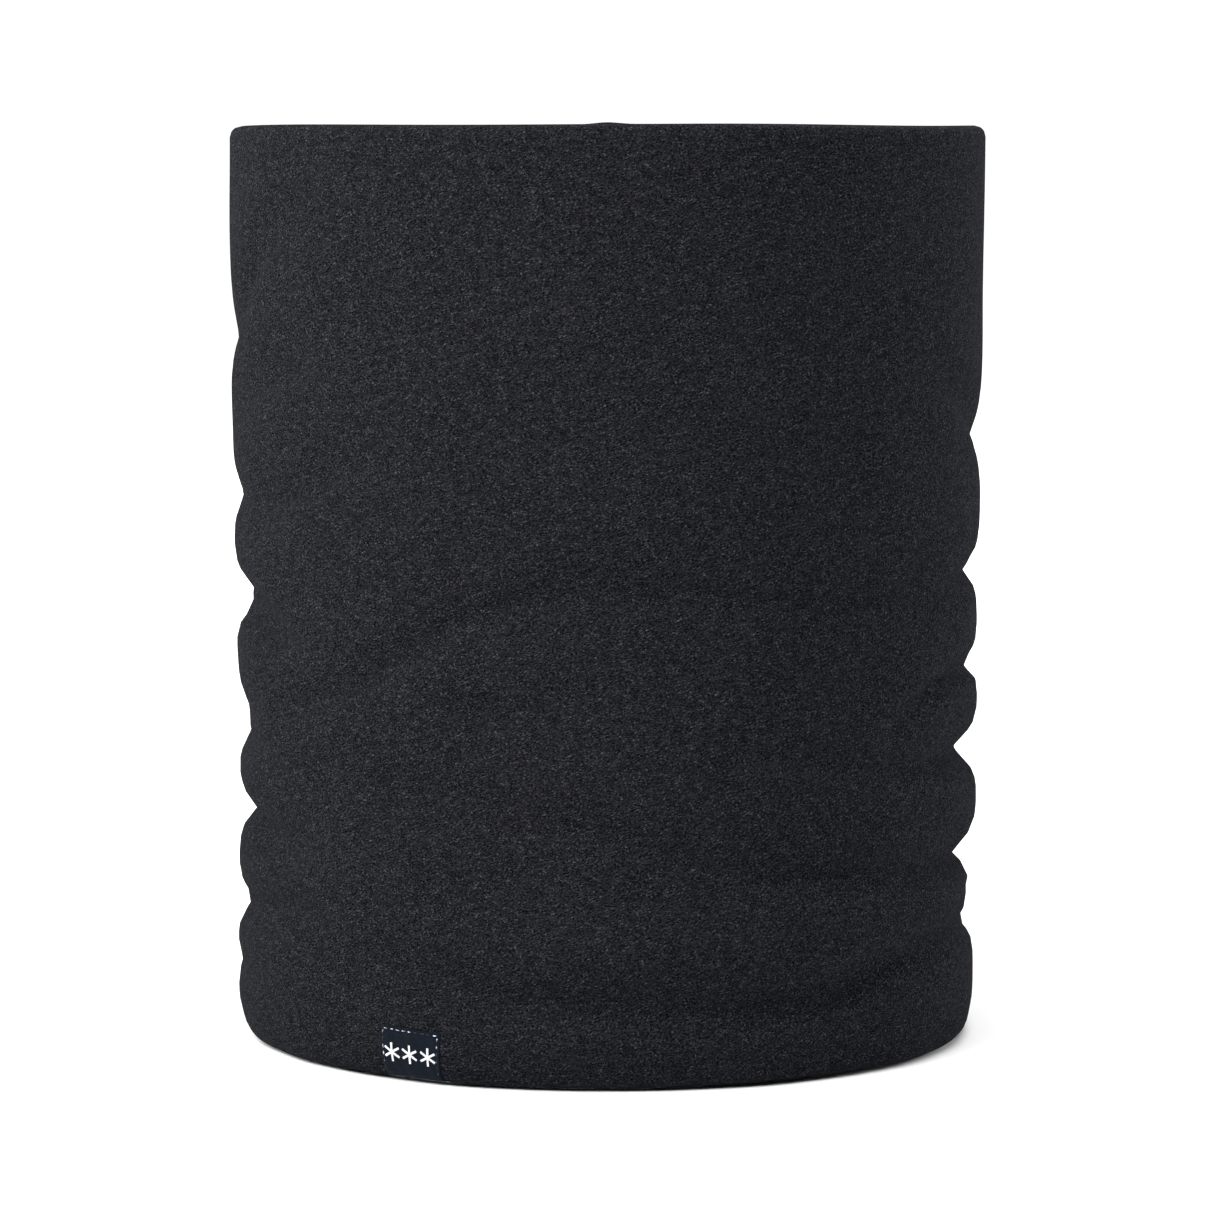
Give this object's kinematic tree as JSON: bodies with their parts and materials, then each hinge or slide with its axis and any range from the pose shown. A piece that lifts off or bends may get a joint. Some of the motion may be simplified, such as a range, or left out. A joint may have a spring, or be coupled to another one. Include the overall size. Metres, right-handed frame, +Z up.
{
  "type": "neck gaiter",
  "caption": "Two-layer charcoal fleece neck gaiter: a soft tube that stands on its hem, with a small folded label on the hem and a top edge that scrunches down.",
  "frame": {"origin": "middle of the hem's underside, on the tube's axis, where the gaiter stands on its surface", "axes": "+Z up along the neck opening, -Y towards the front (the woven label is left of the front's middle), +Y at the centre-back seam, +X to the wearer's left when worn facing -Y"},
  "size_m": [0.16, 0.16, 0.193],
  "materials": {
    "outer_fleece": "matte",
    "lining_fleece": "matte",
    "fleece_margins": "matte",
    "dark_thread": "matte",
    "label_tape": "satin",
    "label_thread": "satin",
    "care_satin": "satin"
  },
  "bodies": {
    "gaiter": {"outer_shell": "outer_fleece", "lining": "lining_fleece", "outer_back_margins": "fleece_margins", "lining_back_margins": "fleece_margins", "outer_back_stitches": "dark_thread", "lining_back_stitches": "dark_thread", "turning_gap_stitches": "dark_thread", "hem_margins": "fleece_margins", "hem_stitches": "dark_thread", "woven_label": "label_tape", "label_stitches": "label_thread"},
    "top_edge": {"top_margins": "fleece_margins", "top_stitches": "dark_thread"},
    "care_label": {"care_label": "care_satin"}
  },
  "joints": [
    {"name": "top_edge_scrunch", "type": "slide", "parent": "gaiter", "child": "top_edge", "axis": [0, 0, 1], "range_m": [-0.06, 0], "deforming": ["outer_shell", "lining", "outer_back_margins", "lining_back_margins", "outer_back_stitches", "lining_back_stitches", "turning_gap_stitches"]},
    {"name": "care_label_turn", "type": "hinge", "parent": "gaiter", "child": "care_label", "pos_m": [0.0013, 0.07539, 0.04], "axis": [0, 0, -1], "range_deg": [0, 140]}
  ]
}
